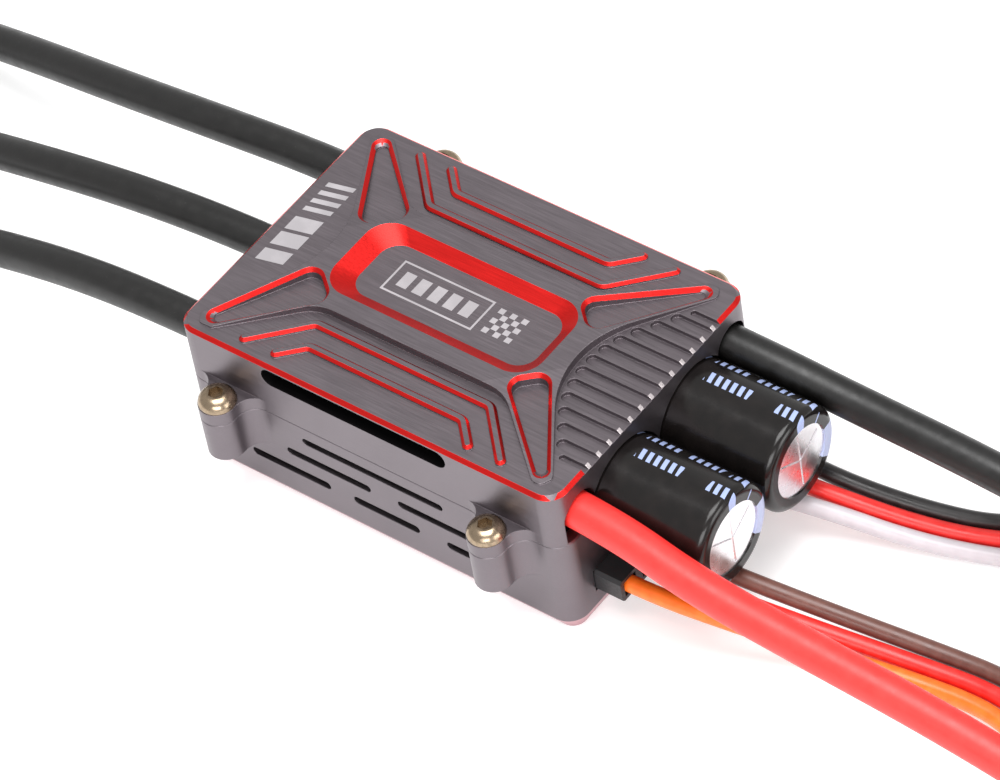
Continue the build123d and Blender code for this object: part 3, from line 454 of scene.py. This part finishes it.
def print_marks(name, outlines, height):
    """Thin flat marks, each a four-sided prism lying on the metal."""
    points = []
    faces = []
    for outline in outlines:
        first = len(points)
        for level in (height + INK_GAP, height + INK_GAP + INK_THICKNESS):
            points += [(x * MM, y * MM, level) for x, y in outline]
        low = [first + step for step in range(4)]
        high = [first + 4 + step for step in range(4)]
        faces += [tuple(reversed(low)), tuple(high)]
        faces += [(low[k], low[(k + 1) % 4], high[(k + 1) % 4], high[k]) for k in range(4)]
    mesh = bpy.data.meshes.new(name)
    mesh.from_pydata(points, [], faces)
    mesh.materials.append(PRINT.material)
    marks = bpy.data.objects.new(name, mesh)
    bpy.context.scene.collection.objects.link(marks)
    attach(marks, "root")


motor_end = [
    box_outline(*MOTOR_MARKS_X, y, y + width, MOTOR_MARKS_LEAN) for y, width in MOTOR_END_MARKS
]
print_marks("motor_end_marks", motor_end, COVER_TOP * MM)

left, right, near, far = DISH_FRAME
dish_marks = [
    box_outline(left, right, near, near + FRAME_LINE),
    box_outline(left, right, far - FRAME_LINE, far),
    box_outline(left, left + FRAME_LINE, near + FRAME_LINE, far - FRAME_LINE),
    box_outline(right - FRAME_LINE, right, near + FRAME_LINE, far - FRAME_LINE),
]
dish_marks += [
    box_outline(x, x + DISH_BAR_WIDTH, -DISH_BAR_REACH, DISH_BAR_REACH) for x in DISH_BAR_STARTS
]
for row in range(CHEQUER_COUNT):
    for column in range(CHEQUER_COUNT):
        if (row + column) % 2 == 0:
            x = CHEQUER_START[0] + column * CHECK_SIDE
            y = CHEQUER_START[1] + row * CHECK_SIDE
            square = CHECK_SIDE * CHECK_SHARE
            dish_marks.append(box_outline(x, x + square, y, y + square))
print_marks("dish_marks", dish_marks, DISH_FLOOR_Z * MM)

# ---------------------------------------------------------------- cords
LEAD_DIAMETER = 0.0034
WIRE_DIAMETER = 0.0016

LEADS = {
    "motor_lead_1": [
        (-0.0175, -0.01065, 0.0136),
        (-0.0245, -0.01066, 0.01355),
        (-0.0355, -0.0104, 0.0122),
        (-0.047, -0.0101, 0.00925),
        (-0.059, -0.01, 0.0055),
        (-0.0705, -0.0104, 0.0029),
        (-0.0805, -0.0108, 0.00185),
        (-0.089, -0.0107, 0.00175),
    ],
    "motor_lead_2": [
        (-0.0175, 0.0, 0.0136),
        (-0.025, -0.00002, 0.01355),
        (-0.0375, -0.0004, 0.01265),
        (-0.0495, -0.0005, 0.0104),
        (-0.0615, 0.0001, 0.0069),
        (-0.073, 0.0008, 0.0035),
        (-0.084, 0.0011, 0.0019),
        (-0.093, 0.0009, 0.00175),
    ],
    "motor_lead_3": [
        (-0.0175, 0.01065, 0.0136),
        (-0.0245, 0.01066, 0.0135),
        (-0.0365, 0.0105, 0.0124),
        (-0.0495, 0.0112, 0.01),
        (-0.0625, 0.0125, 0.007),
        (-0.074, 0.0135, 0.0041),
        (-0.085, 0.0139, 0.0022),
        (-0.094, 0.0136, 0.00175),
    ],
    "positive_lead": [
        (0.0175, -0.0111, 0.0136),
        (0.024, -0.01112, 0.0135),
        (0.0335, -0.0121, 0.0122),
        (0.045, -0.0119, 0.0107),
        (0.0575, -0.0117, 0.0093),
        (0.0695, -0.0116, 0.007),
        (0.0805, -0.0119, 0.0041),
        (0.091, -0.0123, 0.0023),
        (0.0995, -0.0123, 0.00175),
    ],
    "negative_lead": [
        (0.0175, 0.0111, 0.0136),
        (0.024, 0.01112, 0.01355),
        (0.033, 0.01175, 0.0121),
        (0.0445, 0.01185, 0.0116),
        (0.057, 0.0119, 0.0104),
        (0.069, 0.012, 0.0078),
        (0.0805, 0.0123, 0.0047),
        (0.0915, 0.0124, 0.0024),
        (0.1, 0.0122, 0.00175),
    ],
}
LEAD_SURFACES = {"positive_lead": "red_silicone"}

# each wire: its run out to the coil, the heights of its lower and upper turns,
# and its run back to the far plug
SIGNAL_WIRES = {
    "signal_wire_orange": (
        "orange_wire",
        [
            (0.0215, -0.0096, 0.00415),
            (0.026, -0.00965, 0.00425),
            (0.032, -0.0089, 0.00415),
            (0.04, -0.0065, 0.0024),
            (0.048, -0.0041, 0.00095),
            (0.0555, -0.0032, 0.0008),
            (0.06, -0.0045, 0.00085),
            (0.0638, -0.0067, 0.0013),
        ],
        (0.0013, 0.00616),
        [
            (0.072, -0.0082, 0.00616),
            (0.077, -0.008, 0.005),
            (0.0825, -0.0066, 0.0023),
            (0.0875, -0.0045, 0.00115),
            (0.091, -0.00384, 0.00125),
            (0.0938, -0.00385, 0.00125),
        ],
    ),
    "signal_wire_red": (
        "red_wire",
        [
            (0.0215, -0.00706, 0.00415),
            (0.026, -0.00703, 0.00425),
            (0.032, -0.0064, 0.004),
            (0.04, -0.0043, 0.0023),
            (0.048, -0.0023, 0.00095),
            (0.0555, -0.00145, 0.00085),
            (0.0605, -0.0029, 0.0015),
            (0.0641, -0.0059, 0.00292),
        ],
        (0.00292, 0.00778),
        [
            (0.072, -0.00775, 0.00778),
            (0.077, -0.0069, 0.0064),
            (0.0825, -0.005, 0.0029),
            (0.0875, -0.0022, 0.00115),
            (0.091, -0.0013, 0.00125),
            (0.0938, -0.00131, 0.00125),
        ],
    ),
    "signal_wire_brown": (
        "brown_wire",
        [
            (0.0215, -0.00452, 0.00415),
            (0.026, -0.0045, 0.0043),
            (0.032, -0.0045, 0.0047),
            (0.04, -0.0026, 0.003),
            (0.048, -0.0005, 0.0012),
            (0.0555, 0.0003, 0.001),
            (0.061, -0.0014, 0.0025),
            (0.0644, -0.0051, 0.00454),
        ],
        (0.00454, 0.0094),
        [
            (0.072, -0.0073, 0.0094),
            (0.077, -0.0059, 0.0079),
            (0.0825, -0.0033, 0.0036),
            (0.0875, 0.0003, 0.00125),
            (0.091, 0.00124, 0.00125),
            (0.0938, 0.00125, 0.00125),
        ],
    ),
}
BEC_WIRES = {
    "bec_wire_black": (
        "black_wire",
        [
            (0.0215, 0.0096, 0.00415),
            (0.026, 0.0096, 0.0042),
            (0.032, 0.01, 0.0032),
            (0.039, 0.0121, 0.0014),
            (0.0455, 0.0142, 0.0009),
            (0.0515, 0.0166, 0.003),
            (0.0552, 0.0161, 0.0041),
        ],
        (0.00454, 0.0094),
        [
            (0.063, 0.0161, 0.0094),
            (0.068, 0.0175, 0.0079),
            (0.0735, 0.0199, 0.0036),
            (0.0785, 0.0223, 0.00125),
            (0.082, 0.02303, 0.00125),
            (0.0848, 0.02304, 0.00125),
        ],
    ),
    "bec_wire_red": (
        "red_wire",
        [
            (0.0215, 0.00706, 0.00415),
            (0.026, 0.007, 0.0042),
            (0.0325, 0.0082, 0.0032),
            (0.0395, 0.0104, 0.0013),
            (0.046, 0.0125, 0.00085),
            (0.052, 0.015, 0.00185),
            (0.0553, 0.0154, 0.0026),
        ],
        (0.00292, 0.00778),
        [
            (0.063, 0.01565, 0.00778),
            (0.068, 0.01645, 0.0064),
            (0.0735, 0.0183, 0.0029),
            (0.0785, 0.02, 0.00115),
            (0.082, 0.0205, 0.00125),
            (0.0848, 0.02051, 0.00125),
        ],
    ),
    "bec_wire_white": (
        "white_wire",
        [
            (0.0215, 0.00452, 0.00415),
            (0.026, 0.0044, 0.0042),
            (0.033, 0.0065, 0.0032),
            (0.04, 0.0087, 0.0013),
            (0.0465, 0.0108, 0.00085),
            (0.0525, 0.0133, 0.00085),
            (0.0556, 0.0146, 0.00115),
        ],
        (0.0013, 0.00616),
        [
            (0.063, 0.0152, 0.00616),
            (0.068, 0.0154, 0.005),
            (0.0735, 0.0166, 0.0023),
            (0.0785, 0.0177, 0.00115),
            (0.082, 0.01796, 0.00125),
            (0.0848, 0.01797, 0.00125),
        ],
    ),
}
COIL_OUTSIDE = 0.0084
COIL_INSIDE = 0.0059
COIL_START = -108.0
COIL_END = 982.0
COIL_STEPS = 50
COIL_RISE = 0.2
CORD_STEPS = 10
CORD_ROUNDNESS = 8


def smooth(value):
    value = min(max(value, 0.0), 1.0)
    return value * value * (3 - 2 * value)


def coil_turns(centre, low, high):
    """Points of the put-away turns: inwards on the lower layer, up, and outwards on the upper one."""
    turns = []
    for step in range(COIL_STEPS + 1):
        share = step / COIL_STEPS
        angle = math.radians(COIL_START + share * (COIL_END - COIL_START))
        radius = COIL_INSIDE + (COIL_OUTSIDE - COIL_INSIDE) * abs(2 * share - 1)
        height = low + (high - low) * smooth((share - 0.5) / COIL_RISE + 0.5)
        turns.append((centre.x + radius * math.cos(angle), centre.y + radius * math.sin(angle), height))
    return turns


def cord_curve(name, points, diameter, surface):
    """A smooth round cord whose NURBS spline has those points as its control points."""
    curve = bpy.data.curves.new(name, "CURVE")
    curve.dimensions = "3D"
    spline = curve.splines.new("NURBS")
    spline.points.add(len(points) - 1)
    for point, place in zip(spline.points, points):
        point.co = (*place, 1.0)
    spline.order_u = 3
    spline.use_endpoint_u = True
    spline.resolution_u = CORD_STEPS
    curve.bevel_depth = diameter / 2
    curve.bevel_resolution = CORD_ROUNDNESS
    curve.use_fill_caps = True
    curve.materials.append(surface.material)
    cord = bpy.data.objects.new(name, curve)
    bpy.context.scene.collection.objects.link(cord)
    return cord


for node, points in LEADS.items():
    slot_name = LEAD_SURFACES.get(node, "black_silicone")
    lead = cord_curve(f"{node}_cord", points, LEAD_DIAMETER, SLOT_SURFACES[slot_name])
    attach(lead, "root")
    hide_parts(node)

for cable, wires in (("signal", SIGNAL_WIRES), ("bec", BEC_WIRES)):
    ring_low, ring_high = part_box(f"{cable}_cable_coil")
    centre = (ring_low + ring_high) / 2
    for node, (slot_name, run_out, (low, high), run_back) in wires.items():
        points = run_out + coil_turns(centre, low, high) + run_back
        wire = cord_curve(f"{node}_cord", points, WIRE_DIAMETER, SLOT_SURFACES[slot_name])
        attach(wire, f"{cable}_plug")
        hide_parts(node, f"{cable}_cable_coil")

# ---------------------------------------------------------------- floor and light
FLOOR_HALF = 1.5
FLOOR_Z = -0.00003

floor_mesh = bpy.data.meshes.new("floor")
corners = [(x * FLOOR_HALF, y * FLOOR_HALF, FLOOR_Z) for x, y in ((-1, -1), (1, -1), (1, 1), (-1, 1))]
floor_mesh.from_pydata(corners, [], [(0, 1, 2, 3)])
floor = bpy.data.objects.new("floor", floor_mesh)
bpy.context.scene.collection.objects.link(floor)
PAPER = Surface("paper", (0.70, 0.70, 0.70, 1.0), 0.9, Emission_Strength=0.40)
PAPER.shader.inputs["Emission Color"].default_value = (1.0, 1.0, 1.0, 1.0)
PAPER.bump(PAPER.noise(900.0), 0.004 * MM)
floor_mesh.materials.append(PAPER.material)


LIGHT_TARGET = (0.0, 0.0, 0.01)


def softbox(name, place, size, power):
    """A large rectangular soft light that faces the case."""
    data = bpy.data.lights.new(name, "AREA")
    data.shape = "RECTANGLE"
    data.size, data.size_y = size
    data.energy = power
    lamp = bpy.data.objects.new(name, data)
    aim = Vector(LIGHT_TARGET) - Vector(place)
    lamp.matrix_world = Matrix.Translation(place) @ aim.to_track_quat("-Z", "Y").to_matrix().to_4x4()
    bpy.context.scene.collection.objects.link(lamp)


softbox("top_light", (0.05, -0.05, 0.70), (0.5, 0.4), 5.0)
softbox("front_light", (0.35, -0.55, 0.35), (0.5, 0.3), 3.0)
softbox("side_light", (0.60, 0.05, 0.25), (0.3, 0.3), 1.5)

world = bpy.data.worlds.new("studio")
world.use_nodes = True
backdrop = world.node_tree.nodes["Background"]
backdrop.inputs["Color"].default_value = (1.0, 1.0, 1.0, 1.0)
backdrop.inputs["Strength"].default_value = 0.75
bpy.context.scene.world = world
